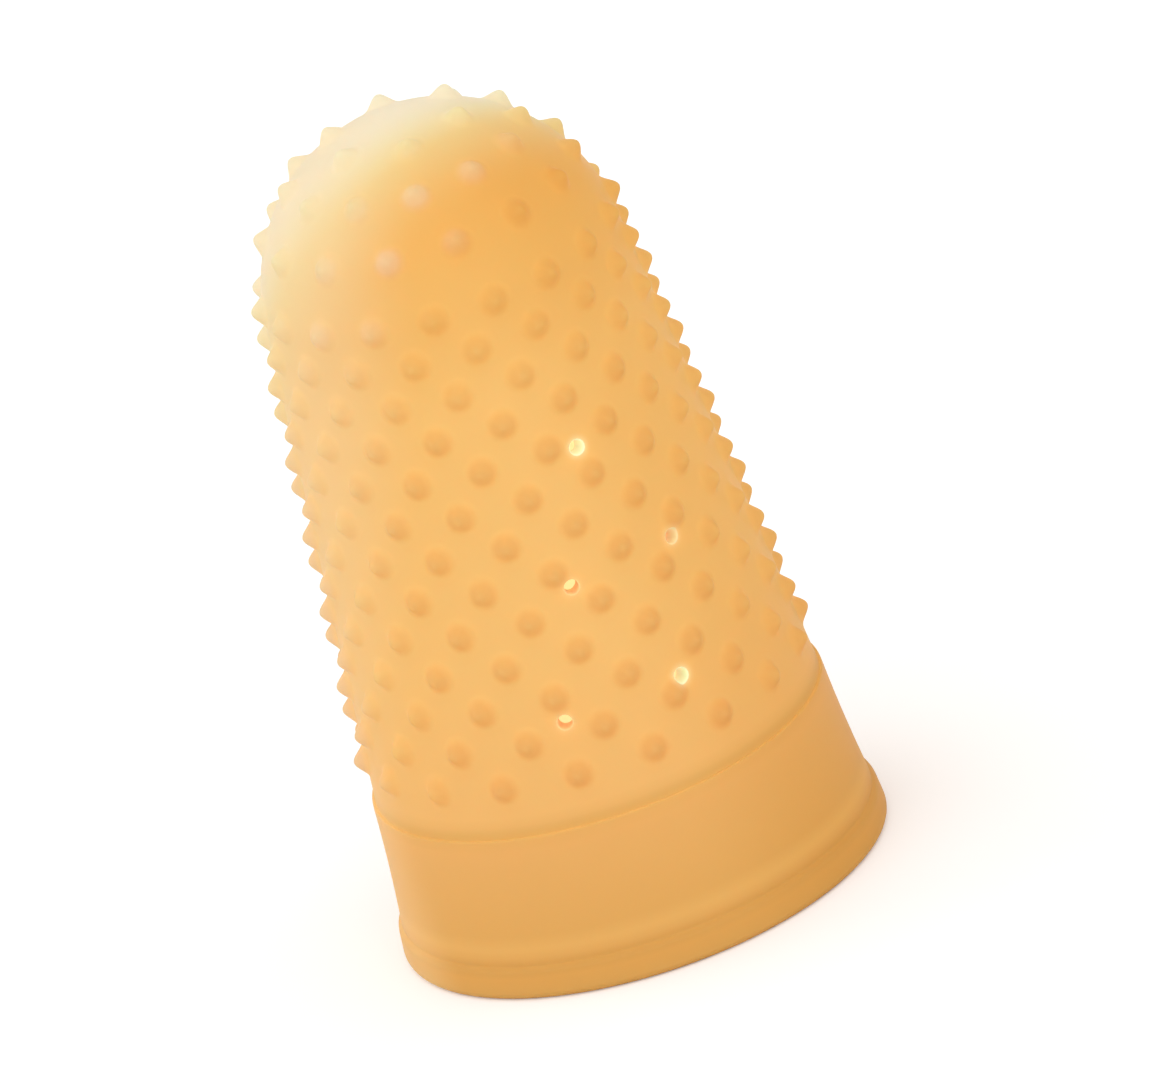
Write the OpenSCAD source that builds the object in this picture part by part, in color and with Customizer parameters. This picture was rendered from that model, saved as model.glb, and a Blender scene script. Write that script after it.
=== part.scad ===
// Moulded rubber finger cot: a tapered thimble with a domed tip, a smooth flared collar at its
// mouth, a staggered lattice of grip nubs and a few ventilation holes.
// It stands on its mouth. The origin is the centre of the mouth and +Z runs up to the tip.
// Azimuths are degrees about +Z, counted anticlockwise from the front, which is -Y.

/* [Collar] */
// Outer diameter at the open mouth, without the rim band
mouth_d = 21.1; // [20.2:0.1:24]
// Outer diameter at the top of the collar
collar_top_d = 19.8; // [18:0.1:20.8]
// Height of the smooth collar above the mouth
collar_h = 7.2; // [4:0.1:11]
// How far the collar's flared side is hollowed between its two ends
collar_sag = 0.09; // [0.03:0.01:0.2]
// How far the collar stands proud of the nubbed wall
collar_step = 0.15; // [0.05:0.05:0.4]
// Wall thickness of the collar at the mouth
collar_wall = 1.3; // [1:0.05:1.6]

/* [Rim band] */
// Height of the thickened band round the mouth
rim_h = 1.5; // [1:0.1:3]
// Wall thickness of the rim band
rim_wall = 1.7; // [1.5:0.05:2.4]
// How far the rim band stands proud of the collar
rim_proud = 0.08; // [0.04:0.02:0.3]
// Radius of the rounded edges of the rim band
rim_edge = 0.35; // [0.1:0.05:0.45]

/* [Nubbed wall] */
// Height of the domed tip above the mouth, without its nubs
tip_h = 36.3; // [30:0.1:46]
// Outer radius of the domed tip
dome_r = 7.75; // [6.5:0.05:8.8]
// Wall thickness of the nubbed wall and the dome
wall = 1.0; // [0.7:0.05:1.3]

/* [Nubs] */
// Height of a nub above the wall
nub_h = 0.55; // [0.5:0.05:1.2]
// Diameter of a nub's flared root, at the wall
nub_root_d = 1.5; // [1.3:0.05:1.8]
// Diameter of a nub at the top of its flare
nub_neck_d = 1.1; // [0.8:0.05:1.2]
// Diameter of a nub's rounded end
nub_end_d = 0.6; // [0.3:0.05:0.7]
// Height of the flare at the root of a nub
nub_flare_h = 0.12; // [0.06:0.02:0.2]
// Nubs in each row of the tapered wall
row_nubs = 18; // [12:1:22]
// Distance from one row to the next
row_pitch = 1.72; // [1.5:0.02:2.4]
// Distance of the lowest row from the top of the collar
first_row = 2.2; // [1:0.1:4]
// Azimuth of the first nub of the lowest row
first_nub = 12.3; // [-20:0.1:20]
// Latitude of the dome's lowest row of nubs
dome_row_lat = 31; // [24:1:36]
// Latitude from one dome row to the next
dome_row_step = 18.5; // [16:0.5:19]

/* [Ventilation holes] */
// Diameter of a ventilation hole
vent_d = 0.65; // [0.4:0.05:1.2]
// Distance of the lowest holes from the top of the collar
first_vent = 4.5; // [2:0.1:8]
// Distance from one row of holes to the next
vent_pitch = 5.5; // [3:0.1:7]
// Angle between neighbouring holes of a row
vent_step = 33; // [20:1:60]

/* [Hidden] */
$fa = 4;
$fs = 0.12;
rubber = "#F5B45F";
// Depth to which a nub's flare runs on inside the wall
nub_sink = 0.15;
// Turn of a nub about its own axis, which keeps its start edge off the wall's own directions
nub_turn = 37;
// Depth by which a straight side runs into the round that it meets
join_sink = 0.0005;
// Sides of the very large circle that hollows the collar's side
sag_sides = 720;
// Each row of nubs on the dome, lowest first: how many it has and the azimuth of the first
dome_rows = [[14, 8], [12, -1], [6, 5]];
// Each row of holes, lowest first: how many it has and the azimuth of the first
vent_rows = [[2, -7], [2, 6], [1, 21]];

// Lean from the axis of a straight side that runs from its foot into a ball without a kink
function tangent_lean(foot_r, rise, ball_r) = atan(foot_r / rise) - asin(ball_r / norm([foot_r, rise]));

dome_z = tip_h - dome_r;
foot_r = collar_top_d / 2 - collar_step;
taper = tangent_lean(foot_r, dome_z - collar_h, dome_r);
// Height at which the straight wall turns into the dome, and the wall's length up to there
join_z = dome_z + dome_r * sin(taper);
straight_run = (join_z - collar_h) / cos(taper);

// Length of the dome's face over an angle of latitude
function dome_run(lat) = dome_r * lat * PI / 180;
// Rows of nubs that fit on the wall below the dome's own rows
dome_row_run = straight_run + dome_run(dome_row_lat - taper);
wall_rows = 1 + floor((dome_row_run - dome_run(dome_row_step) - first_row) / row_pitch);

// Lean of the outer face, at a distance along it from the top of the collar
function face_lean(run) = run < straight_run ? taper : taper + (run - straight_run) / dome_run(1);
// Radius and height of a point on the outer face, at the same distance
function face_point(run) =
    run < straight_run
    ? [foot_r - run * sin(taper), collar_h + run * cos(taper)]
    : [dome_r * cos(face_lean(run)), dome_z + dome_r * sin(face_lean(run))];

// Closed section of the dome and its straight wall, taken in by inset
module wall_section(inset) {
    ball_r = dome_r - inset;
    low_r = foot_r - inset / cos(taper);
    intersection() {
        union() {
            translate([0, dome_z]) circle(r = ball_r);
            polygon([
                [0, collar_h], [low_r, collar_h],
                [0, dome_z] + (ball_r - join_sink) * [cos(taper), sin(taper)], [0, join_z]
            ]);
        }
        translate([0, collar_h]) square([mouth_d, tip_h]);
    }
}

// Closed section of the collar, with its side hollowed by a large circle
module collar_section() {
    ends = [[mouth_d / 2, 0], [collar_top_d / 2, collar_h]];
    chord = norm(ends[1] - ends[0]);
    sag_r = (chord * chord / 4 + collar_sag * collar_sag) / (2 * collar_sag);
    outward = [collar_h, (mouth_d - collar_top_d) / 2] / chord;
    difference() {
        polygon([[0, 0], ends[0], ends[1], [0, collar_h]]);
        translate((ends[0] + ends[1]) / 2 + outward * (sag_r - collar_sag)) circle(r = sag_r, $fn = sag_sides);
    }
}

// Section of the space for the finger
module hollow_section() {
    wall_section(wall);
    polygon([
        [0, 0], [mouth_d / 2 - collar_wall, 0],
        [foot_r - wall / cos(taper), collar_h], [0, collar_h]
    ]);
}

// Section of the rim band, which follows the collar's flare and has four rounded edges
module rim_section() {
    flare = atan((mouth_d - collar_top_d) / 2 / collar_h);
    low_r = mouth_d / 2 + rim_proud - rim_edge;
    top_r = low_r - (rim_h - 2 * rim_edge) * tan(flare);
    inner = rim_wall - 2 * rim_edge;
    // Each corner's centre, and the directions in which its round starts and ends
    corners = [
        [[low_r, rim_edge], -90, flare],
        [[top_r, rim_h - rim_edge], flare, 90],
        [[top_r - inner, rim_h - rim_edge], 90, 180 + flare],
        [[low_r - inner, rim_edge], 180 + flare, 270]
    ];
    polygon([for (c = corners) for (side = [c[1], c[2]]) c[0] + rim_edge * [cos(side), sin(side)]]);
    for (c = corners) translate(c[0]) circle(r = rim_edge);
}

// The plain shell, without nubs and holes
module shell() {
    rotate_extrude() {
        difference() {
            union() {
                wall_section(0);
                collar_section();
            }
            hollow_section();
        }
        rim_section();
    }
}

// One nub: a round end that runs down a cone into a flared root
module nub() {
    end_r = nub_end_d / 2;
    end_z = nub_h - end_r;
    lean = tangent_lean(nub_neck_d / 2, end_z - nub_flare_h, end_r);
    flare_slope = (nub_root_d - nub_neck_d) / 2 / nub_flare_h;
    rotate([0, 0, nub_turn]) rotate_extrude() intersection() {
        union() {
            polygon([
                [0, -nub_sink], [nub_root_d / 2 + nub_sink * flare_slope, -nub_sink],
                [nub_neck_d / 2, nub_flare_h],
                [0, end_z] + (end_r - join_sink) * [cos(lean), sin(lean)], [0, end_z]
            ]);
            translate([0, end_z]) circle(r = end_r);
        }
        translate([0, -nub_sink]) square([nub_root_d * 2, nub_sink + nub_h]);
    }
}

// Puts what it holds on the outer face, with its +Z along the face's outward direction
module on_face(run, azimuth) {
    point = face_point(run);
    rotate([0, 0, azimuth]) translate([0, -point[0], point[1]]) rotate([90 - face_lean(run), 0, 0]) children();
}

module wall_nubs() {
    turn = 360 / row_nubs;
    for (row = [0:wall_rows - 1])
        for (i = [0:row_nubs - 1])
            on_face(first_row + row * row_pitch, first_nub + (i + row % 2 / 2) * turn) nub();
}

module dome_nubs() {
    for (row = [0:len(dome_rows) - 1])
        for (i = [0:dome_rows[row][0] - 1])
            on_face(
                dome_row_run + row * dome_run(dome_row_step),
                dome_rows[row][1] + i * 360 / dome_rows[row][0]
            ) nub();
}

module vents() {
    reach = wall + nub_h;
    for (row = [0:len(vent_rows) - 1])
        for (i = [0:vent_rows[row][0] - 1])
            on_face(first_vent + row * vent_pitch, vent_rows[row][1] + i * vent_step)
                cylinder(h = 2 * reach, d = vent_d, center = true);
}

module finger_cot() {
    color(rubber) difference() {
        union() {
            shell();
            wall_nubs();
            dome_nubs();
        }
        vents();
    }
}

finger_cot();
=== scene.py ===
"""Looks of a moulded natural-rubber finger cot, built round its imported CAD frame.

The cot is one piece: a tapered thimble with a domed tip, a smooth flared collar with a rim
band, a staggered lattice of grip nubs and five small ventilation holes. It stands on its
mouth at the origin with +Z up to the tip, and its holes face the front, -Y.

Sizes of the object are in millimetres until a mesh is made, where MM turns them to metres.
Azimuths are counted anticlockwise from -Y. A place on the outer face is given by its run,
the distance along the face from the top of the collar, and its azimuth.
"""

from __future__ import annotations

import logging
import math
from collections.abc import Mapping, Sequence
from dataclasses import dataclass, field
from enum import Enum
from typing import Any

import bmesh
import bpy
import numpy as np
from bpy.types import ID, Material, Mesh, Node, NodeSocket, NodeTree, Object
from mathutils import Matrix, Vector
from mathutils.geometry import delaunay_2d_cdt

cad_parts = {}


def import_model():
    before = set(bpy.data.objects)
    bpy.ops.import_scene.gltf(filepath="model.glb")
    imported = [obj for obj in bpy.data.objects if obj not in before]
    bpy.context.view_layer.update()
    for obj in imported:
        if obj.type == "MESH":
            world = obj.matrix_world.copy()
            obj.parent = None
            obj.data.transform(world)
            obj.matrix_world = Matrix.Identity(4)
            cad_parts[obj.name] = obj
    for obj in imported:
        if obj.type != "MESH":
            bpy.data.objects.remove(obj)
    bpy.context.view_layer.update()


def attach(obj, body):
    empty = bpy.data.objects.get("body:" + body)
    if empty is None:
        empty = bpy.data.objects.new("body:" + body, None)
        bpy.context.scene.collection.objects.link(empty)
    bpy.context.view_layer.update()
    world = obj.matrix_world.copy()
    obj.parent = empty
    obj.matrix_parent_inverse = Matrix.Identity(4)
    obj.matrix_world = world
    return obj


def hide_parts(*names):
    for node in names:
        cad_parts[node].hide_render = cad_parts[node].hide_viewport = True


LOG = logging.getLogger("finger_cot")

MM = 0.001
NODE = "finger_cot"
BODY = "root"
MATH = "ShaderNodeMath"
VECTOR_MATH = "ShaderNodeVectorMath"
STORE = "GeometryNodeStoreNamedAttribute"

# Radius that stands in for 0 at the tip, where a logarithm has no end
TINY_R = 1e-9
# Distance on the flat chart below which two points would be one
SAME_SPOT = 1e-7
# What joining points gives: triangles up to their convex outline
CONVEX_OUTLINE = 0
# Where the middle of a rounded edge lies, as a share of its radius from either face
HALF_ROUND = 0.3
# Share of a ring's radius below which a point counts as inside it
WITHIN = 0.99

# Sockets of a mix node, whose names repeat for numbers and colours
FACTOR = 0
NUMBERS = (2, 3)
COLOURS = (6, 7)
COLOUR_RESULT = 2

# Names of the attributes that the meshes carry
NUB_RISE = "nub_rise"
VENT_NEAR = "vent_near"
INSIDE = "inside"
OUTWARD = "outward"


def linear(colour: str) -> tuple[float, float, float, float]:
    """Turns an sRGB hex colour into the linear one that a socket takes.

    Args:
        colour: Six hex digits after a hash sign, such as "#F5B45F".

    Returns:
        Linear red, green and blue, and an alpha of 1.
    """
    channels = (int(colour[i : i + 2], 16) / 255 for i in (1, 3, 5))
    red, green, blue = (
        c / 12.92 if c <= 0.04045 else ((c + 0.055) / 1.055) ** 2.4 for c in channels
    )
    return red, green, blue, 1.0


def add_node(
    tree: NodeTree,
    kind: str,
    inputs: Mapping[int | str, Any] | Sequence[Any] = (),
    **settings: Any,
) -> Node:
    """Adds a node to a tree, with its settings, its values and its links.

    Args:
        tree: The node tree that the node goes into.
        kind: The node's type name.
        inputs: What each input gets, by its name or its place, or in order from the first.
            A socket is linked, a node is linked by its first output, a list of either is
            linked to one input that takes several, and anything else is set as the value.
        **settings: Properties of the node, such as its operation.

    Returns:
        The new node.
    """
    node = tree.nodes.new(kind)
    for name, value in settings.items():
        setattr(node, name, value)
    given = inputs.items() if isinstance(inputs, Mapping) else enumerate(inputs)
    for key, value in given:
        for part in value if isinstance(value, list) else [value]:
            if isinstance(part, Node):
                tree.links.new(part.outputs[0], node.inputs[key])
            elif isinstance(part, NodeSocket):
                tree.links.new(part, node.inputs[key])
            else:
                node.inputs[key].default_value = part
    return node


def new_tree(
    name: str, inputs: Mapping[str, Any], outputs: Mapping[str, str]
) -> tuple[NodeTree, dict[str, Any]]:
    """Makes a Geometry Nodes tree with its sockets.

    Args:
        name: Name of the tree.
        inputs: The number that each input starts with, by its name, or None for geometry.
        outputs: The kind of each output, by its name, such as "Vector".

    Returns:
        The tree, and the sockets inside it that give its inputs, by name.
    """
    tree = bpy.data.node_groups.new(name, "GeometryNodeTree")
    kinds = {type(None): "Geometry", int: "Int", float: "Float"}
    for side, sockets in (("INPUT", inputs), ("OUTPUT", outputs)):
        for key, value in sockets.items():
            kind = f"NodeSocket{kinds.get(type(value), value)}"
            socket = tree.interface.new_socket(key, in_out=side, socket_type=kind)
            if isinstance(value, (int, float)):
                socket.default_value = value
    return tree, dict(add_node(tree, "NodeGroupInput").outputs.items())


def evaluated_mesh(mesh: Mesh, tree: NodeTree) -> Mesh:
    """Runs a Geometry Nodes tree over a mesh and keeps the result as a plain mesh.

    Args:
        mesh: The mesh that goes into the tree, which is used up.
        tree: The tree, whose inputs keep their values.

    Returns:
        The new mesh.
    """
    carrier = add_object(tree.name, mesh)
    carrier.modifiers.new(tree.name, "NODES").node_group = tree
    graph = bpy.context.evaluated_depsgraph_get()
    evaluated = carrier.evaluated_get(graph)
    result = bpy.data.meshes.new_from_object(
        evaluated, preserve_all_data_layers=True, depsgraph=graph
    )
    bpy.data.objects.remove(carrier)
    bpy.data.meshes.remove(mesh)
    return result


def add_object(name: str, data: ID) -> Object:
    """Puts a mesh, a lamp or a camera into the scene as an object."""
    added = bpy.data.objects.new(name, data)
    bpy.context.scene.collection.objects.link(added)
    return added


def around(radius: np.ndarray | float, azimuth: np.ndarray, height: np.ndarray) -> np.ndarray:
    """Gives the x, y and z of places round the axis, one row for each."""
    return np.stack((radius * np.sin(azimuth), -radius * np.cos(azimuth), height), axis=-1)


@dataclass(frozen=True)
class Face:
    """Outer face of the nubbed wall and the dome, in millimetres.

    Attributes:
        foot_r: Radius of the wall at the top of the collar.
        foot_z: Height of the top of the collar.
        tip_z: Height of the domed tip.
        dome_r: Radius of the dome.
    """

    foot_r: float = 9.75
    foot_z: float = 7.2
    tip_z: float = 36.3
    dome_r: float = 7.75

    @property
    def dome_z(self) -> float:
        """Height of the dome's centre."""
        return self.tip_z - self.dome_r

    @property
    def taper(self) -> float:
        """Lean of the wall that runs into the dome without a kink, in radians."""
        rise = self.dome_z - self.foot_z
        reach = math.hypot(self.foot_r, rise)
        return math.atan(self.foot_r / rise) - math.asin(self.dome_r / reach)

    @property
    def straight_run(self) -> float:
        """Length of the straight wall, from the collar to the dome."""
        join_z = self.dome_z + self.dome_r * math.sin(self.taper)
        return (join_z - self.foot_z) / math.cos(self.taper)

    def dome_run(self, latitude: float) -> float:
        """Gives the run of a latitude of the dome, in radians."""
        return self.straight_run + self.dome_r * (latitude - self.taper)

    def section(self, run: np.ndarray) -> tuple[np.ndarray, np.ndarray, np.ndarray]:
        """Gives the face's radius, height and lean at each run."""
        straight = run < self.straight_run
        lean = np.where(straight, self.taper, self.taper + (run - self.straight_run) / self.dome_r)
        wall_r = self.foot_r - run * math.sin(self.taper)
        wall_z = self.foot_z + run * math.cos(self.taper)
        radius = np.where(straight, wall_r, self.dome_r * np.cos(lean))
        return radius, np.where(straight, wall_z, self.dome_z + self.dome_r * np.sin(lean)), lean

    def outward(self, run: np.ndarray, azimuth: np.ndarray) -> np.ndarray:
        """Gives the face's outward direction at each place, one row for each."""
        lean = self.section(run)[2]
        return around(np.cos(lean), azimuth, np.sin(lean))

    def points(self, run: np.ndarray, azimuth: np.ndarray, depth: float = 0.0) -> np.ndarray:
        """Gives the points of the face, or points at a depth under it.

        Args:
            run: Distance of each point along the face.
            azimuth: Azimuth of each point, in radians.
            depth: Distance below the face, square to it.

        Returns:
            One row of x, y and z for each point.
        """
        radius, height, _ = self.section(run)
        return around(radius, azimuth, height) - depth * self.outward(run, azimuth)

    def locate(self, points: np.ndarray) -> tuple[np.ndarray, np.ndarray]:
        """Finds the run and azimuth of the face's nearest place to each point."""
        radius = np.hypot(points[:, 0], points[:, 1])
        height = points[:, 2] - self.foot_z
        along = height * math.cos(self.taper) - (radius - self.foot_r) * math.sin(self.taper)
        latitude = np.arctan2(points[:, 2] - self.dome_z, radius)
        run = np.where(latitude < self.taper, along, self.dome_run(latitude))
        return run, np.arctan2(points[:, 0], -points[:, 1])

    def chart(self, run: np.ndarray, azimuth: np.ndarray) -> np.ndarray:
        """Lays the face flat as a disc that keeps small shapes true, with the tip at its centre.

        Args:
            run: Distance of each point along the face.
            azimuth: Azimuth of each point, in radians.

        Returns:
            One row of two flat coordinates for each point.
        """
        radius, _, lean = self.section(run)
        wall = np.log(self.foot_r / np.maximum(radius, TINY_R)) / math.sin(self.taper)
        join = math.log(self.foot_r / self.dome_r / math.cos(self.taper)) / math.sin(self.taper)
        stretch = np.log(np.tan(math.pi / 4 + np.minimum(lean, math.pi / 2) / 2))
        dome = join + stretch - math.log(math.tan(math.pi / 4 + self.taper / 2))
        spread = np.exp(-np.where(run < self.straight_run, wall, dome))
        return np.stack((spread * np.sin(azimuth), -spread * np.cos(azimuth)), axis=-1)


@dataclass(frozen=True)
class DomeRow:
    """One row of nubs on the dome: its latitude, its count and its first azimuth, in degrees."""

    latitude: float
    count: int
    first: float


@dataclass
class NubLattice:
    """The staggered lattice of grip nubs, laid out and raised by Geometry Nodes.

    Attributes:
        face: The face that the nubs stand on.
        row_nubs: Nubs in each row of the tapered wall.
        rows: Rows on the tapered wall.
        first_run: Run of the lowest row.
        pitch: Distance from one row to the next.
        first: Azimuth of the first nub of the lowest row, in degrees.
        dome_rows: The rows on the dome, lowest first.
        height: Height of a nub above the face.
        flank_r: Radius at which a nub's straight flank would meet the face.
        flank_slope: Rise of the flank for each millimetre towards the nub's axis.
        end_round: How much of a nub's end is rounded over.
        root_round: How much of a nub's root runs out into the face.
    """

    face: Face
    row_nubs: int = 18
    rows: int = 13
    first_run: float = 2.2
    pitch: float = 1.72
    first: float = 12.3
    dome_rows: tuple[DomeRow, ...] = (DomeRow(31, 14, 8), DomeRow(49.5, 12, -1), DomeRow(68, 6, 5))
    height: float = 0.55
    flank_r: float = 0.69
    flank_slope: float = 1.0
    end_round: float = 0.25
    root_round: float = 0.25

    def _seat_group(self) -> NodeTree:
        """Builds the node group that turns a run and an azimuth into a seat on the face."""
        sizes = {
            "Run": 0.0,
            "Azimuth": 0.0,
            "Foot radius": self.face.foot_r,
            "Foot height": self.face.foot_z,
            "Taper": self.face.taper,
            "Straight run": self.face.straight_run,
            "Dome radius": self.face.dome_r,
            "Dome height": self.face.dome_z,
        }
        outputs = {"Seat": "Vector", "Outward": "Vector"}
        tree, known = new_tree("seat on the face", sizes, outputs)
        for name, operation, *parts in (
            ("past", "SUBTRACT", "Run", "Straight run"),
            ("on dome", "GREATER_THAN", "past", 0.0),
            ("bend", "DIVIDE", "past", "Dome radius"),
            ("bend up", "MAXIMUM", "bend", 0.0),
            ("lean", "ADD", "Taper", "bend up"),
            # Below the dome the lean is the taper, so one sine and one cosine serve both parts
            ("sine", "SINE", "lean"),
            ("cosine", "COSINE", "lean"),
            ("wall in", "MULTIPLY", "Run", "sine"),
            ("wall up", "MULTIPLY", "Run", "cosine"),
            ("wall radius", "SUBTRACT", "Foot radius", "wall in"),
            ("wall height", "ADD", "Foot height", "wall up"),
            ("dome radius", "MULTIPLY", "Dome radius", "cosine"),
            ("dome up", "MULTIPLY", "Dome radius", "sine"),
            ("dome height", "ADD", "Dome height", "dome up"),
            # An azimuth turns the -Y direction anticlockwise
            ("across", "SINE", "Azimuth"),
            ("behind", "COSINE", "Azimuth"),
            ("front", "MULTIPLY", "behind", -1.0),
        ):
            parts = [known.get(part, part) for part in parts]
            known[name] = add_node(tree, MATH, parts, operation=operation)
        low, high = NUMBERS
        point = []
        for size in ("radius", "height"):
            mixed = {low: known[f"wall {size}"], high: known[f"dome {size}"]}
            point.append(add_node(tree, "ShaderNodeMix", {FACTOR: known["on dome"], **mixed}))
        places = []
        for reach, level in (point, (known["cosine"], known["sine"])):
            flat = [
                add_node(tree, MATH, (reach, known[side]), operation="MULTIPLY")
                for side in ("across", "front")
            ]
            places.append(add_node(tree, "ShaderNodeCombineXYZ", (*flat, level)))
        add_node(tree, "NodeGroupOutput", places)
        return tree

    def seats(self) -> Mesh:
        """Lays out the seats: the wall's staggered rows, then the dome's.

        Returns:
            A mesh with a vertex at each, in millimetres, that stores its outward direction.
        """
        sizes = {
            "Geometry": None,
            "Rows": self.rows,
            "Nubs in a row": self.row_nubs,
            "First run": self.first_run,
            "Row pitch": self.pitch,
            "First azimuth": math.radians(self.first),
        }
        tree, known = new_tree("nub seats", sizes, {"Geometry": "Geometry"})
        group = self._seat_group()
        known["index"] = add_node(tree, "GeometryNodeInputIndex")
        for name, operation, *parts in (
            ("share", "DIVIDE", "index", "Nubs in a row"),
            ("row", "FLOOR", "share"),
            ("column", "FLOORED_MODULO", "index", "Nubs in a row"),
            # Every second row is turned by half a step, which staggers the lattice
            ("odd", "FLOORED_MODULO", "row", 2.0),
            ("place", "MULTIPLY_ADD", "odd", 0.5, "column"),
            ("step", "DIVIDE", math.tau, "Nubs in a row"),
            ("azimuth", "MULTIPLY_ADD", "place", "step", "First azimuth"),
            ("run", "MULTIPLY_ADD", "row", "Row pitch", "First run"),
            ("count", "MULTIPLY", "Rows", "Nubs in a row"),
        ):
            parts = [known.get(part, part) for part in parts]
            known[name] = add_node(tree, MATH, parts, operation=operation)
        rows = [(known["count"], known["run"], known["azimuth"])]
        for row in self.dome_rows:
            azimuth = (known["index"], math.tau / row.count, math.radians(row.first))
            azimuth = add_node(tree, MATH, azimuth, operation="MULTIPLY_ADD")
            rows.append((row.count, self.face.dome_run(math.radians(row.latitude)), azimuth))
        dots = []
        for count, run, azimuth in rows:
            place = {"Run": run, "Azimuth": azimuth}
            seat = add_node(tree, "GeometryNodeGroup", place, node_tree=group).outputs
            row = add_node(tree, "GeometryNodePoints", {"Count": count, "Position": seat["Seat"]})
            stored = {"Geometry": row, "Name": OUTWARD, "Value": seat["Outward"]}
            dots.append(add_node(tree, STORE, stored, data_type="FLOAT_VECTOR", domain="POINT"))
        joined = add_node(tree, "GeometryNodeJoinGeometry", (dots,))
        dots = add_node(tree, "GeometryNodePointsToVertices", (joined,))
        add_node(tree, "NodeGroupOutput", (dots,))
        return evaluated_mesh(bpy.data.meshes.new("nub seats"), tree)

    def raise_from(self, skin: Mesh, seats: Mesh, rubber: Material) -> Mesh:
        """Raises a rounded nub out of a smooth skin at each seat.

        Args:
            skin: The smooth skin, in millimetres, which is used up.
            seats: The seats, in millimetres, each with its outward direction.
            rubber: The finish that the skin gets.

        Returns:
            The skin with its nubs, as a plain mesh in millimetres.
        """
        markers = bpy.data.objects.new("nub seats", seats)
        sizes = {
            "Geometry": None,
            "Nub height": self.height,
            "Flank radius": self.flank_r,
            "Flank slope": self.flank_slope,
            "End round": self.end_round,
            "Root round": self.root_round,
        }
        tree, known = new_tree("raise nubs", sizes, {"Geometry": "Geometry"})
        dots = add_node(tree, "GeometryNodeObjectInfo", {"Object": markers}).outputs["Geometry"]
        near = add_node(tree, "GeometryNodeProximity", (dots,), target_element="POINTS")
        known["away"] = near.outputs["Distance"]
        for name, operation, *parts in (
            ("inside", "SUBTRACT", "Flank radius", "away"),
            ("flank", "MULTIPLY", "inside", "Flank slope"),
            ("ended", "SMOOTH_MIN", "flank", "Nub height", "End round"),
            ("rise", "SMOOTH_MAX", "ended", 0.0, "Root round"),
            ("share", "DIVIDE", "rise", "Nub height"),
        ):
            parts = [known.get(part, part) for part in parts]
            known[name] = add_node(tree, MATH, parts, operation=operation)
        nearest = add_node(tree, "GeometryNodeSampleNearest", (dots,), domain="POINT")
        stored = add_node(
            tree, "GeometryNodeInputNamedAttribute", (OUTWARD,), data_type="FLOAT_VECTOR"
        )
        wanted = {"Geometry": dots, "Value": stored, "Index": nearest}
        outward = add_node(
            tree, "GeometryNodeSampleIndex", wanted, data_type="FLOAT_VECTOR", domain="POINT"
        )
        lift = {0: outward, "Scale": known["rise"]}
        lift = add_node(tree, VECTOR_MATH, lift, operation="SCALE")
        marked = {"Geometry": known["Geometry"], "Name": NUB_RISE, "Value": known["share"]}
        marked = add_node(tree, STORE, marked, data_type="FLOAT", domain="POINT")
        raised = add_node(tree, "GeometryNodeSetPosition", {"Geometry": marked, "Offset": lift})
        real = add_node(tree, "GeometryNodeRealizeInstances", (raised,))
        dressed = add_node(tree, "GeometryNodeSetMaterial", {"Geometry": real, "Material": rubber})
        add_node(tree, "NodeGroupOutput", (dressed,))
        raised = evaluated_mesh(skin, tree)
        bpy.data.objects.remove(markers)
        return raised


@dataclass(frozen=True)
class Vent:
    """One ventilation hole.

    Attributes:
        run: Its run, in millimetres.
        azimuth: Its azimuth, in degrees.
        glow: How much painted glow comes out of it, from 0 to 1.
    """

    run: float
    azimuth: float
    glow: float


@dataclass(frozen=True)
class Seat:
    """A place on the face, for rings drawn round it.

    Attributes:
        centre: The seat itself, on the outer face.
        outward: The face's outward direction there.
    """

    centre: np.ndarray
    outward: np.ndarray

    def ring(self, radius: float, count: int, depth: float = 0.0) -> np.ndarray:
        """Gives a ring of points round the seat, anticlockwise as seen from outside.

        Args:
            radius: Radius of the ring.
            count: How many points it has.
            depth: How far it lies inwards of the seat.

        Returns:
            One row of x, y and z for each point.
        """
        across = np.cross((0.0, 0.0, 1.0), self.outward)
        across /= np.linalg.norm(across)
        angle = np.arange(count) * math.tau / count
        beside = np.cross(self.outward, across)
        flat = np.outer(np.cos(angle), across) + np.outer(np.sin(angle), beside)
        return self.centre + radius * flat - depth * self.outward


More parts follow.
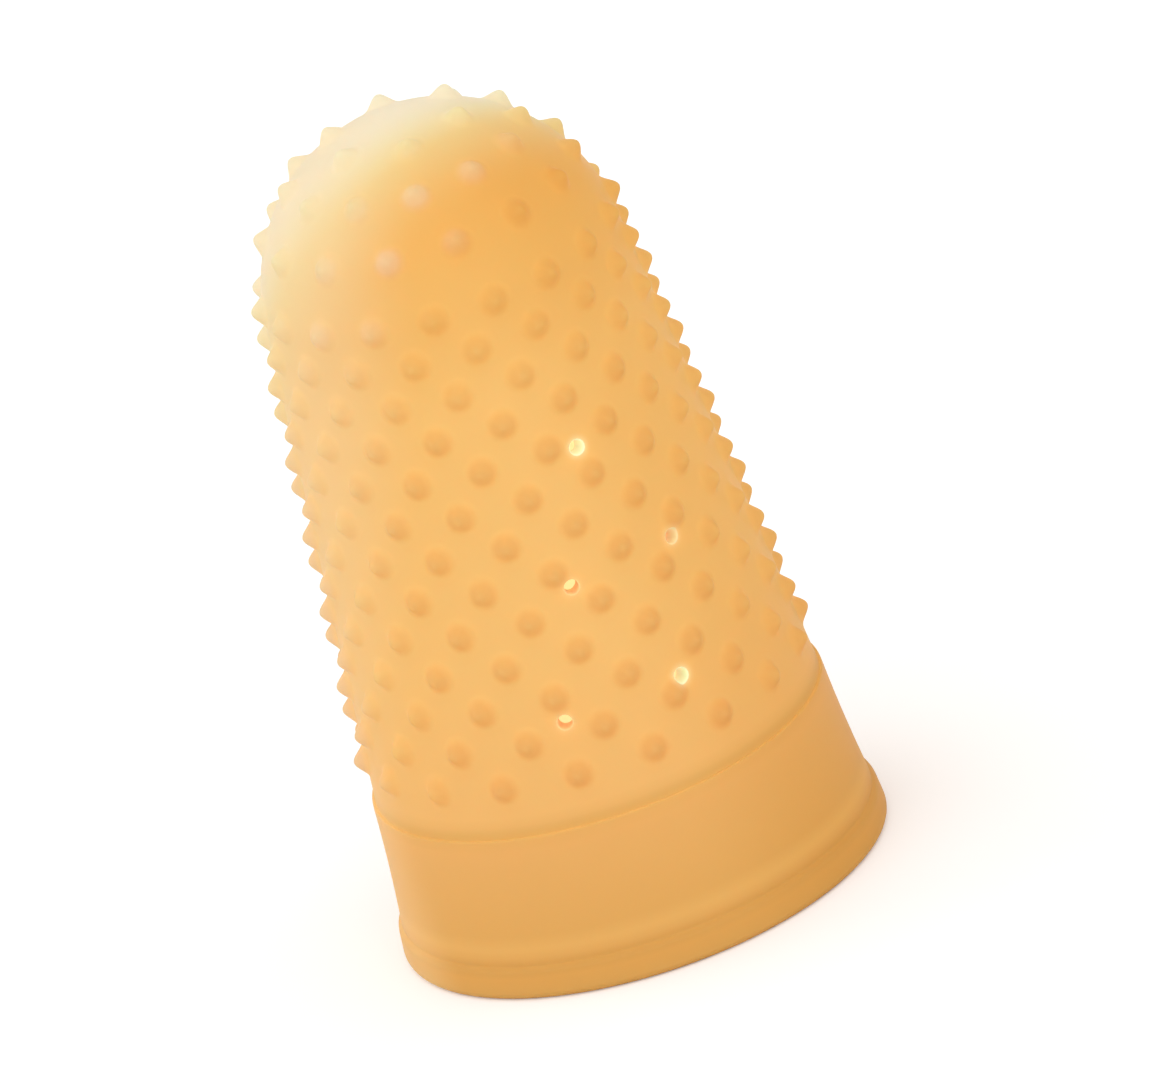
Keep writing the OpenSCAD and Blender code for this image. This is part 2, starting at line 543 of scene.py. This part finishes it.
@dataclass
class Skin:
    """One side of the thin shell: points scattered over the face, joined into triangles.

    Attributes:
        face: The outer face, which the skin follows.
        depth: How deep the skin lies under the face.
        rim_points: Points round its lower edge.
        run: Run of each point.
        azimuth: Azimuth of each point, in radians.
        loops: The points of each closed ring that stays whole, the lower edge first.
    """

    face: Face
    depth: float
    rim_points: int
    run: np.ndarray = field(default_factory=lambda: np.empty(0))
    azimuth: np.ndarray = field(default_factory=lambda: np.empty(0))
    loops: list[np.ndarray] = field(default_factory=list)

    def __post_init__(self) -> None:
        """Starts the skin with its lower edge."""
        turn = np.arange(self.rim_points) * math.tau / self.rim_points
        self.loops.append(self.add(np.zeros(self.rim_points), turn))

    def add(self, run: np.ndarray, azimuth: np.ndarray) -> np.ndarray:
        """Adds points and gives their numbers."""
        start = len(self.run)
        self.run = np.concatenate((self.run, run))
        self.azimuth = np.concatenate((self.azimuth, azimuth))
        return np.arange(start, len(self.run))

    def add_hole(self, seat: Seat, radius: float, count: int) -> None:
        """Adds a closed ring whose inside stays open."""
        self.loops.append(self.add(*self.face.locate(seat.ring(radius, count))))

    def add_clear(self, points: np.ndarray, seats: np.ndarray, gap: np.ndarray | float) -> None:
        """Adds the points that keep their distance from some seats.

        Args:
            points: The points, one row each.
            seats: The seats, one row each.
            gap: The distance that each seat, or every seat, asks for.
        """
        away = np.linalg.norm(points[:, None] - seats[None], axis=2)
        self.add(*self.face.locate(points[(away > gap).all(axis=1)]))

    def spread(self, spacing: float) -> np.ndarray:
        """Gives points spread evenly over the whole face, about one spacing apart."""
        length = self.face.dome_run(math.pi / 2)
        rows = round(length / spacing)
        spots = []
        for row in range(1, rows + 1):
            run = np.float64(length * row / rows)
            count = max(1, round(math.tau * float(self.face.section(run)[0]) / spacing))
            turn = (np.arange(count) + row % 2 / 2) * math.tau / count
            spots.append(self.face.points(np.full(count, run), turn))
        return np.concatenate(spots)

    def places(self) -> np.ndarray:
        """Gives the skin's points, at its depth."""
        return self.face.points(self.run, self.azimuth, self.depth)

    def triangles(self) -> np.ndarray:
        """Joins the points into triangles that face outwards, and leaves the holes open."""
        flat = [Vector(spot) for spot in self.face.chart(self.run, self.azimuth)]
        edges = [
            pair for loop in self.loops for pair in zip(loop.tolist(), np.roll(loop, -1).tolist())
        ]
        _, _, faces, sources, _, _ = delaunay_2d_cdt(flat, edges, [], CONVEX_OUTLINE, SAME_SPOT)
        faces = np.array([numbers[0] for numbers in sources])[np.array(faces)]
        for hole in self.loops[1:]:
            faces = faces[~np.isin(faces, hole).all(axis=1)]
        return faces


@dataclass(frozen=True)
class CollarSection:
    """Section of the collar and its rim band, in millimetres.

    Attributes:
        mouth_r: Radius of the collar at the mouth.
        top_r: Radius of the collar at its top.
        height: Height of the collar.
        sag: How far the flared side is hollowed between its ends.
        wall: Wall thickness at the mouth.
        band_h: Height of the rim band.
        band_wall: Thickness of the rim band.
        band_proud: How far it stands proud of the collar.
        edge: Radius of the rim band's rounded edges.
        crease: Depth of the fine crease at the foot of the wall.
        step: Points of the step under the wall, as shares of its width and of the crease.
        corner: Points of the corner above the band, as radius and height from the side's foot:
            a slight undercut, which draws its fine line.
        side_points: Points on the flared side.
        side_ends: How far they stay below its top and above the band.
        arc_points: Points on each rounded edge of the band.
        arc_ends: Direction in which the first edge starts and the last one ends, in degrees.
        inside_points: Points on the plain inside of the collar, which are the last ones.
        inside_ends: How far they stay above the band and below the hollow's foot.
    """

    mouth_r: float = 10.55
    top_r: float = 9.9
    height: float = 7.2
    sag: float = 0.09
    wall: float = 1.3
    band_h: float = 1.5
    band_wall: float = 1.7
    band_proud: float = 0.08
    edge: float = 0.35
    crease: float = 0.05
    step: tuple[tuple[float, float], ...] = (
        (0.1, 0.7), (0.3, 1.0), (0.55, 0.85), (0.78, 0.9), (0.93, 1.6), (1.0, 2.8),
    )
    corner: tuple[tuple[float, float], ...] = ((-0.02, 0.06), (-0.02, 0.0), (0.0, -0.03))
    side_points: int = 18
    side_ends: tuple[float, float] = (0.3, 0.16)
    arc_points: int = 8
    arc_ends: tuple[float, float] = (60.0, 104.0)
    inside_points: int = 10
    inside_ends: tuple[float, float] = (0.04, 0.5)

    def _side(self, height: np.ndarray) -> np.ndarray:
        """Gives the radius of the collar's flared side at each height."""
        share = height / self.height
        straight = self.mouth_r - (self.mouth_r - self.top_r) * share
        return straight - 4 * self.sag * share * (1 - share)

    def points(
        self, wall_foot: tuple[float, float], hollow_foot: tuple[float, float]
    ) -> np.ndarray:
        """Lays out the section from the wall's foot down outside, round the rim and up inside.

        Args:
            wall_foot: Radius and height at which the outer skin ends.
            hollow_foot: Radius and height at which the inner skin ends.

        Returns:
            Radius and height of each point between the two skins.
        """
        flare = math.atan((self.mouth_r - self.top_r) / self.height)
        low_r = self.mouth_r + self.band_proud - self.edge
        top_r = low_r - (self.band_h - 2 * self.edge) * math.tan(flare)
        inner = self.band_wall - 2 * self.edge
        # A crease at the wall's foot, then the collar's own rounded edge
        across, down = np.array(self.step).T
        width = self.top_r - wall_foot[0]
        step = (wall_foot[0] + width * across, self.height - self.crease * down)
        below, above = self.side_ends
        levels = np.linspace(self.height - below, self.band_h + above, self.side_points)
        parts = [np.stack(step, axis=-1), np.stack((self._side(levels), levels), axis=-1)]
        foot = (self._side(np.float64(self.band_h)), self.band_h)
        parts.append(np.array(foot) + np.array(self.corner))
        first, last = np.radians(self.arc_ends)
        edges = (
            ((top_r, self.band_h - self.edge), first, flare),
            ((low_r, self.edge), flare, -math.pi / 2),
            ((low_r - inner, self.edge), -math.pi / 2, flare - math.pi),
            ((top_r - inner, self.band_h - self.edge), math.pi + flare, last),
        )
        for centre, start, end in edges:
            angle = np.linspace(start, end, self.arc_points)
            arc = np.stack((np.cos(angle), np.sin(angle)), axis=-1)
            parts.append(np.array(centre) + self.edge * arc)
        above, below = self.inside_ends
        ends = (self.band_h + above, hollow_foot[1] - below)
        inside = np.linspace(*ends, self.inside_points)
        mouth = self.mouth_r - self.wall
        radius = mouth + (hollow_foot[0] - mouth) * inside / hollow_foot[1]
        parts.append(np.stack((radius, inside), axis=-1))
        return np.concatenate(parts)


@dataclass
class FingerCot:
    """The whole cot: one closed skin of moulded rubber.

    Attributes:
        face: The outer face of the wall and the dome.
        lattice: The grip nubs.
        collar: The section of the collar.
        vents: The ventilation holes.
        vent_r: Radius of a hole.
        lip: How much a hole's edge is rounded.
        wall: Wall thickness.
        rim_points: Points round the collar.
        hole_points: Points round a hole.
        nub_rings: Radius and points of each ring of the mesh under a nub.
        vent_rings: Radius and points of each ring of the mesh round a hole.
        spacing: Distance between plain points of the outer skin.
        inner_spacing: The same in the inner skin.
        nub_gap: How far plain outer points stay from a nub's last ring.
        vent_gap: How far they stay from a hole's last ring.
        ring_gap: How far the rings of a nub stay from it.
        inner_gap: How far plain inner points stay from a hole.
        glow_share: Share of a hole's painted glow that shows just beside it.
        glow_depth: How far from the outer face a hole's painted glow is stored.
        hollow_depth: Distance behind the axis from which the hollow's painted glow is full.
    """

    face: Face = field(default_factory=Face)
    lattice: NubLattice = field(init=False)
    collar: CollarSection = field(default_factory=CollarSection)
    vents: tuple[Vent, ...] = (
        Vent(4.5, -7, 0.3), Vent(4.5, 26, 0.95),
        Vent(10, 6, 0.3), Vent(10, 39, 0.55),
        Vent(15.5, 21, 1.0),
    )
    vent_r: float = 0.325
    lip: float = 0.06
    wall: float = 1.0
    rim_points: int = 144
    hole_points: int = 16
    nub_rings: tuple[tuple[float, int], ...] = (
        (0.08, 8), (0.15, 12), (0.22, 18), (0.3, 20), (0.39, 20),
        (0.48, 20), (0.56, 20), (0.64, 20), (0.73, 20), (0.84, 20),
    )
    vent_rings: tuple[tuple[float, int], ...] = ((0.44, 20), (0.51, 22), (0.6, 24), (0.7, 26))
    spacing: float = 0.45
    inner_spacing: float = 0.8
    nub_gap: float = 0.2
    vent_gap: float = 0.17
    ring_gap: float = 0.07
    inner_gap: float = 0.3
    glow_share: float = 0.25
    glow_depth: float = 3.0
    hollow_depth: float = 4.0

    def __post_init__(self) -> None:
        """Puts the nubs on the face."""
        self.lattice = NubLattice(self.face)

    def _vent_seats(self) -> list[Seat]:
        """Gives the seat of each ventilation hole."""
        run = np.array([vent.run for vent in self.vents])
        azimuth = np.radians([vent.azimuth for vent in self.vents])
        places = zip(self.face.points(run, azimuth), self.face.outward(run, azimuth))
        return [Seat(*place) for place in places]

    def _outer_skin(self, nubs: list[Seat], vents: list[Seat]) -> Skin:
        """Lays out the outer skin, fine round every nub and hole."""
        skin = Skin(self.face, 0.0, self.rim_points)
        for vent in vents:
            skin.add_hole(vent, self.vent_r + self.lip, self.hole_points)
            for radius, count in self.vent_rings:
                skin.add(*self.face.locate(vent.ring(radius, count)))
        holes = np.array([vent.centre for vent in vents])
        vent_r, nub_r = self.vent_rings[-1][0], self.nub_rings[-1][0]
        for nub in nubs:
            rings = [nub.ring(radius, count) for radius, count in self.nub_rings]
            rings = np.concatenate((nub.centre[None], *rings))
            skin.add_clear(rings, holes, vent_r + self.ring_gap)
        seats = np.concatenate(([nub.centre for nub in nubs], holes))
        gaps = (nub_r + self.nub_gap, vent_r + self.vent_gap)
        clearance = np.repeat(gaps, (len(nubs), len(vents)))
        skin.add_clear(skin.spread(self.spacing), seats, clearance)
        return skin

    def _inner_skin(self, vents: list[Seat]) -> Skin:
        """Lays out the plain inner skin, which only the holes break."""
        skin = Skin(self.face, self.wall, self.rim_points)
        for vent in vents:
            skin.add_hole(vent, self.vent_r + self.lip, self.hole_points)
        holes = np.array([vent.centre for vent in vents])
        skin.add_clear(skin.spread(self.inner_spacing), holes, self.vent_r + self.inner_gap)
        return skin

    def _smooth_skin(self, nubs: list[Seat]) -> Mesh:
        """Joins the skins, the holes' walls and the collar into one closed mesh without nubs."""
        vents = self._vent_seats()
        outer, inner = self._outer_skin(nubs, vents), self._inner_skin(vents)
        shift = len(outer.run)
        faces = outer.triangles().tolist() + (inner.triangles()[:, ::-1] + shift).tolist()
        tubes = []
        # Each hole's wall, with a rounded lip at both ends
        part = self.lip * HALF_ROUND
        under = self.wall - self.lip
        lips = ((part, part), (0.0, self.lip), (0.0, under), (part, self.wall - part))
        for vent, *loops in zip(vents, outer.loops[1:], inner.loops[1:]):
            wall = [vent.ring(self.vent_r + wide, self.hole_points, deep) for wide, deep in lips]
            tubes.append((wall, loops))
        # The collar, which joins the two skins at their lower edges
        lean = np.array((math.cos(self.face.taper), math.sin(self.face.taper)))
        foot = np.array((self.face.foot_r, self.face.foot_z))
        turn = np.arange(self.rim_points)[::-1] * math.tau / self.rim_points
        section = self.collar.points(tuple(foot), tuple(foot - self.wall * lean))
        collar = [around(radius, turn, np.full_like(turn, height)) for radius, height in section]
        tubes.append((collar, [outer.loops[0][::-1], inner.loops[0][::-1]]))
        points = [outer.places(), inner.places()]
        total = shift + len(inner.run)
        for rings, (first, last) in tubes:
            chain = [first]
            for ring in rings:
                chain.append(np.arange(total, total + len(ring)))
                total += len(ring)
            for upper, lower in zip(chain, [*chain[1:], last + shift]):
                quads = (upper, np.roll(upper, -1), np.roll(lower, -1), lower)
                faces.extend(np.stack(quads, axis=-1).tolist())
            points.extend(rings)
        places = np.concatenate(points)
        mesh = bpy.data.meshes.new("smooth skin")
        mesh.from_pydata(places.tolist(), [], faces)
        mesh.shade_smooth()
        # Painted glow fills the hollow from the back
        inside = np.zeros(total)
        collar_inside = total - self.collar.inside_points * self.rim_points
        for lit in (slice(shift, shift + len(inner.run)), slice(collar_inside, total)):
            inside[lit] = np.clip(places[lit, 1] / self.hollow_depth, 0, 1)
        for name, values in ((VENT_NEAR, self._vent_light(places, vents)), (INSIDE, inside)):
            mesh.attributes.new(name, "FLOAT", "POINT").data.foreach_set("value", values)
        return mesh

    def _vent_light(self, places: np.ndarray, vents: list[Seat]) -> np.ndarray:
        """Gives how much of a hole's light reaches each point of the smooth skin.

        Args:
            places: The points, one row each.
            vents: The seat of each hole.

        Returns:
            For each point, the glow of the hole that it lies in, less beside it, and 0 elsewhere.
        """
        light = np.zeros(len(places))
        lip_r, last_r = self.vent_r + self.lip, self.vent_rings[-1][0]
        for seat, vent in zip(vents, self.vents):
            offset = places - seat.centre
            depth = offset @ seat.outward
            away = np.linalg.norm(offset - np.outer(depth, seat.outward), axis=1)
            fade = self.glow_share * np.clip((last_r - away) / (last_r - lip_r), 0, 1) ** 2
            share = np.where(away < WITHIN * lip_r, 1.0, fade)
            own = np.where(abs(depth) < self.glow_depth, vent.glow * share, 0)
            light = np.maximum(light, own)
        return light

    def build(self, rubber: Material) -> Object:
        """Builds the cot as one piece.

        Args:
            rubber: Its finish.

        Returns:
            The piece, in metres, standing in the place of the CAD node.
        """
        seats = self.lattice.seats()
        centres, outward = np.empty((2, len(seats.vertices) * 3))
        seats.vertices.foreach_get("co", centres)
        seats.attributes[OUTWARD].data.foreach_get("vector", outward)
        nubs = [Seat(*pair) for pair in zip(centres.reshape(-1, 3), outward.reshape(-1, 3))]
        mesh = self.lattice.raise_from(self._smooth_skin(nubs), seats, rubber)
        bpy.data.meshes.remove(seats)
        mesh.transform(Matrix.Scale(MM, 4))
        mesh.name = "rubber_skin"
        checked = bmesh.new()
        checked.from_mesh(mesh)
        loose = sum(not edge.is_manifold for edge in checked.edges)
        volume = checked.calc_volume(signed=True) / MM**3
        checked.free()
        counts = (len(nubs), len(mesh.polygons), loose, volume)
        LOG.info("%d nubs, %d faces, %d open edges, %.1f mm3", *counts)
        return add_object("rubber_skin", mesh)


@dataclass(frozen=True)
class Reach:
    """How far places of the cot lie in a direction, as a soft step from 0.

    Attributes:
        toward: The direction. Its length counts too.
        start: Distance in that direction at which the step starts, in millimetres.
        end: Distance at which it is done.
        most: What it comes to.
    """

    toward: tuple[float, float, float]
    start: float
    end: float
    most: float = 1.0

    def mask(self, tree: NodeTree, place: Node) -> Node:
        """Adds the step to a tree, for places in millimetres."""
        along = add_node(tree, VECTOR_MATH, (place, self.toward), operation="DOT_PRODUCT")
        step = {
            "Value": along.outputs["Value"],
            "From Min": self.start,
            "From Max": self.end,
            "To Max": self.most,
        }
        return add_node(tree, "ShaderNodeMapRange", step, interpolation_type="SMOOTHSTEP")


@dataclass(frozen=True)
class MouldedNaturalRubber:
    """Moulded natural rubber (vulcanised latex), unfilled and translucent amber.

    Light soaks into it and comes out again nearby, so it looks lit from within: thick places
    such as the nubs, the collar and the rim band are a deeper orange, and shading is soft.
    Light shining through from behind is painted into the colour as pale cream on the dome,
    the lit edge, the nubs and the holes, and shade is painted on the far side and the rim.
    The mould leaves a satin surface.

    Attributes:
        levels: Heights in millimetres and the colour at each: the rim band with its painted
        shade and the painted highlight line above it, the collar, the painted shade of its
        step, the wall and the dome.
        far: Painted shade on the side furthest from the light, and what the colour is
        multiplied by there.
        low: Painted light on the edge of the collar on the lit side, and its colour.
        nub_ramp: Shares of a nub's height, and how deep the colour is at each.
        nub_deep: What a nub's colour is multiplied by, because it is thicker.
        nub_fades: Where painted light makes nubs less deep, and by how much.
        nub_lights: Where light shining through the nubs is painted in.
        nub_lit: The painted colour of that light.
        dome: Painted light on the far side of the dome, where light shines through, and its
            colour.
        dome_edge: Painted light on the far edge of the dome, and its colour.
        side: Painted light on the edge of the wall and the dome on the lit side, and its colour.
        vent_glow: Painted light at the thin edge of a hole: its pale colour.
        vent_light: Painted glow, given off at a hole as the light that comes out of it.
        hollow_light: Painted glow, given off inside as the light that fills the hollow.
        grain: Spots of the satin grain to a millimetre, and finer steps on top of them.
        relief: How much of the grain shows, and its height in millimetres.
    """

    levels: tuple[tuple[float, str], ...] = (
        (0.0, "#DFA659"), (1.0, "#DDA356"), (1.5, "#CF9B53"), (1.8, "#DDA75C"),
        (2.2, "#E5B163"), (2.8, "#DFA95D"), (6.6, "#E6AF65"), (7.05, "#DFAA62"),
        (7.25, "#D9A85F"), (7.42, "#DAAA61"), (7.7, "#E6B469"), (8.1, "#ECB96E"),
        (14.0, "#EEBF72"), (26.0, "#EFC172"), (30.5, "#EBB866"), (36.3, "#E9AD57"),
    )
    far: tuple[Reach, str] = (Reach((1.0, 0.0, 0.09), 2.5, 8.5), "#FAF5EB")
    low: tuple[Reach, str] = (Reach((-1.0, 0.0, 0.0), 8.5, 10.5, 0.4), "#FFD495")
    nub_ramp: tuple[tuple[float, float], ...] = ((0.0, 0.0), (0.45, 0.85), (0.9, 1.0))
    nub_deep: str = "#F8EBE7"
    nub_fades: tuple[Reach, ...] = (
        Reach((-1.0, 0.0, 0.0), 5.5, 8.5, 0.8),
        Reach((1.0, 0.0, 0.0), 5.5, 8.5, 0.5),
        Reach((0.0, 0.0, 1.0), 24.0, 28.0, 0.35),
    )
    nub_lights: tuple[Reach, ...] = (
        Reach((-0.6, 0.0, 1.0), 30.6, 34.8), Reach((-1.0, 0.0, 0.09), 9.6, 10.8),
    )
    nub_lit: str = "#EABE8C"
    dome: tuple[Reach, str] = (Reach((-0.344, 0.725, 0.597), 15.0, 21.6), "#E9DB9C")
    dome_edge: tuple[Reach, str] = (Reach((-0.344, 0.725, 0.597), 18.5, 22.0), "#EEE4C4")
    side: tuple[Reach, str] = (Reach((-1.0, 0.0, 0.317), 10.8, 15.8, 0.4), "#EED9AC")
    vent_glow: str = "#E8E5B4"
    vent_light: str = "#306F74"
    hollow_light: str = "#F4D69C"
    grain: tuple[float, float] = (4.0, 3.0)
    relief: tuple[float, float] = (0.12, 0.02)

    def material(self) -> Material:
        """Builds the finish."""
        rubber = bpy.data.materials.new("moulded_natural_rubber")
        rubber.use_nodes = True
        tree = rubber.node_tree
        tree.nodes.clear()
        place = {0: add_node(tree, "ShaderNodeTexCoord").outputs["Object"], "Scale": 1 / MM}
        place = add_node(tree, VECTOR_MATH, place, operation="SCALE")
        rise, near, inside = (
            add_node(tree, "ShaderNodeAttribute", attribute_name=name).outputs["Fac"]
            for name in (NUB_RISE, VENT_NEAR, INSIDE)
        )
        # Colour goes by height: the rubber is thickest low down, and painted shade at the rim band
        # and the collar's step and a painted highlight line above the band are set by height too
        top = self.levels[-1][0]
        height = add_node(tree, "ShaderNodeSeparateXYZ", (place,)).outputs["Z"]
        height = add_node(tree, MATH, (height, top), operation="DIVIDE")
        ramps = []
        for share, stops in (
            (height, [(level / top, linear(tint)) for level, tint in self.levels]),
            (rise, [(part, (deep, deep, deep, 1.0)) for part, deep in self.nub_ramp]),
        ):
            ramps.append(add_node(tree, "ShaderNodeValToRGB", (share,)))
            elements = ramps[-1].color_ramp.elements
            while len(elements) < len(stops):
                elements.new(0.5)
            for element, (position, tint) in zip(elements, stops):
                element.position = position
                element.color = tint
        base, raised = ramps
        # A nub is thicker, so it is deeper in colour; painted light fades this to both sides
        # and upwards
        deep = raised
        for reach in self.nub_fades:
            keep = add_node(tree, MATH, (1.0, reach.mask(tree, place)), operation="SUBTRACT")
            deep = add_node(tree, MATH, (deep, keep), operation="MULTIPLY")
        # Painted light: where light shines through, a nub is painted paler
        lit = [reach.mask(tree, place) for reach in self.nub_lights]
        lit = add_node(tree, MATH, lit, operation="MAXIMUM")
        lit = add_node(tree, MATH, (lit, raised), operation="MULTIPLY")
        # Painted shade on the far side, painted light on the collar's lit edge, the nubs' deeper
        # colour, then painted light in the nubs and the dome, on the lit edge and at the holes
        skin = (
            (*self.far, "MULTIPLY"),
            (*self.low, "MIX"),
            (deep, self.nub_deep, "MULTIPLY"),
            (lit, self.nub_lit, "MIX"),
            (*self.dome, "MIX"),
            (*self.dome_edge, "MIX"),
            (*self.side, "MIX"),
            (near, self.vent_glow, "MIX"),
        )
        # Painted glow: light that has soaked through the wall fills the hollow and comes out of
        # the holes, given off by the rubber itself
        glow = ((near, self.vent_light, "MIX"), (inside, self.hollow_light, "MIX"))
        under, over = COLOURS
        mixed = []
        for colour, layers in ((base, skin), (linear("#000000"), glow)):
            for amount, tint, blend in layers:
                if isinstance(amount, Reach):
                    amount = amount.mask(tree, place)
                sides = {FACTOR: amount, under: colour, over: linear(tint)}
                kind = {"data_type": "RGBA", "blend_type": blend}
                colour = add_node(tree, "ShaderNodeMix", sides, **kind).outputs[COLOUR_RESULT]
            mixed.append(colour)
        colour, light = mixed
        # Satin from the mould: a fine grain, drawn coarse enough to show
        spots, finer = self.grain
        grain = {"Vector": place, "Scale": spots, "Detail": finer}
        grain = add_node(tree, "ShaderNodeTexNoise", grain)
        shown, high = self.relief
        relief = {"Height": grain, "Strength": shown, "Distance": high * MM}
        surface = {
            "Base Color": colour,
            "Roughness": 0.42,
            "IOR": 1.52,
            "Specular IOR Level": 0.04,
            "Subsurface Weight": 0.8,
            "Subsurface Radius": (1.0, 0.5, 0.2),
            "Subsurface Scale": 1.5 * MM,
            "Normal": add_node(tree, "ShaderNodeBump", relief),
            "Emission Color": light,
            "Emission Strength": 1.0,
        }
        shader = "ShaderNodeBsdfPrincipled"
        surface = add_node(tree, shader, surface, subsurface_method="BURLEY")
        add_node(tree, "ShaderNodeOutputMaterial", {"Surface": surface})
        return rubber


class Lamp(Enum):
    """The soft lamps: azimuth and elevation they shine from, strength, and softness in degrees."""

    KEY = (-30.0, 50.0, 0.5, 70.0)
    FILL = (45.0, 30.0, 0.45, 90.0)
    BACK = (-120.0, 30.0, 0.45, 50.0)


@dataclass
class Studio:
    """Pale floor, soft lamps and the camera.

    Attributes:
        elevation: Elevation of the camera, in degrees.
        roll: How far the cot's axis leans to the left in the picture, in degrees.
        lens: Focal length of the long lens.
        distance: Distance of the camera from its target, in millimetres.
        target: What the camera looks at, in millimetres.
        aside: How far the camera moves right and up, to centre the picture, in millimetres.
        clip: Nearest and furthest that the camera sees, in metres.
        floor: Colour of the floor.
        floor_half: Half its width, in metres.
        floor_lift: Strength of the light of its own that the camera sees.
        world: Strength of the light from all round.
    """

    elevation: float = 21.6
    roll: float = 18.5
    lens: float = 1500.0
    distance: float = 2025.0
    target: tuple[float, float, float] = (0.0, 0.0, 17.0)
    aside: tuple[float, float] = (2.2, -0.75)
    clip: tuple[float, float] = (0.01, 20.0)
    floor: str = "#F2F2F2"
    floor_half: float = 4.0
    floor_lift: float = 0.2
    world: float = 0.77

    def _direction(self, azimuth: float, elevation: float) -> Vector:
        """Gives the direction from the cot to a place round it, from angles in degrees."""
        flat, up = math.radians(azimuth), math.radians(elevation)
        return Vector(around(math.cos(up), flat, math.sin(up)))

    def add_camera(self) -> None:
        """Adds the camera at the photograph's viewing angle."""
        data = bpy.data.cameras.new("camera")
        data.lens = self.lens
        data.clip_start, data.clip_end = self.clip
        camera = add_object("camera", data)
        outward = self._direction(0, self.elevation)
        turn = outward.to_track_quat("Z", "Y").to_matrix().to_4x4()
        place = Matrix.Translation(Vector(self.target) * MM)
        roll = Matrix.Rotation(math.radians(-self.roll), 4, "Z")
        back = Matrix.Translation(Vector((*self.aside, self.distance)) * MM)
        camera.matrix_world = place @ turn @ roll @ back
        bpy.context.scene.camera = camera

    def add_lamps(self) -> None:
        """Adds the lamps and the light from all round."""
        for lamp in Lamp:
            azimuth, elevation, strength, softness = lamp.value
            data = bpy.data.lights.new(lamp.name.lower(), "SUN")
            data.energy = strength
            data.angle = math.radians(softness)
            turn = self._direction(azimuth, elevation).to_track_quat("Z", "Y")
            add_object(lamp.name.lower(), data).rotation_euler = turn.to_euler()
        world = bpy.data.worlds.new("studio")
        world.use_nodes = True
        tree = world.node_tree
        tree.nodes.clear()
        seen = add_node(tree, "ShaderNodeLightPath").outputs["Is Camera Ray"]
        sides = []
        for strength in (self.world, 1.0):
            white = {"Color": linear("#FFFFFF"), "Strength": strength}
            sides.append(add_node(tree, "ShaderNodeBackground", white))
        both = add_node(tree, "ShaderNodeMixShader", (seen, *sides))
        add_node(tree, "ShaderNodeOutputWorld", {"Surface": both})
        bpy.context.scene.world = world

    def add_floor(self) -> None:
        """Adds the plain pale floor."""
        half = self.floor_half
        corners = [(-half, -half, 0), (half, -half, 0), (half, half, 0), (-half, half, 0)]
        mesh = bpy.data.meshes.new("floor")
        mesh.from_pydata(corners, [], [range(len(corners))])
        floor = add_object("floor", mesh)
        # Matt white paper, with a little light of its own that only the camera sees
        paper = bpy.data.materials.new("matt_white_paper")
        paper.use_nodes = True
        tree = paper.node_tree
        tree.nodes.clear()
        matt = add_node(tree, "ShaderNodeBsdfDiffuse", {"Color": linear(self.floor)})
        seen = add_node(tree, "ShaderNodeLightPath").outputs["Is Camera Ray"]
        lift = add_node(tree, MATH, (seen, self.floor_lift), operation="MULTIPLY")
        own = add_node(tree, "ShaderNodeEmission", {"Color": linear("#FFFFFF"), "Strength": lift})
        both = add_node(tree, "ShaderNodeAddShader", (matt, own))
        add_node(tree, "ShaderNodeOutputMaterial", {"Surface": both})
        mesh.materials.append(paper)


def main() -> None:
    """Builds the cot and its studio, and notes the cot's sizes."""
    logging.basicConfig(level=logging.INFO, format="%(name)s: %(message)s")
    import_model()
    bpy.context.scene.view_settings.view_transform = "Standard"
    cot = FingerCot().build(MouldedNaturalRubber().material())
    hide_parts(NODE)
    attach(cot, BODY)
    studio = Studio()
    studio.add_floor()
    studio.add_lamps()
    studio.add_camera()


if __name__ == "__main__":
    main()
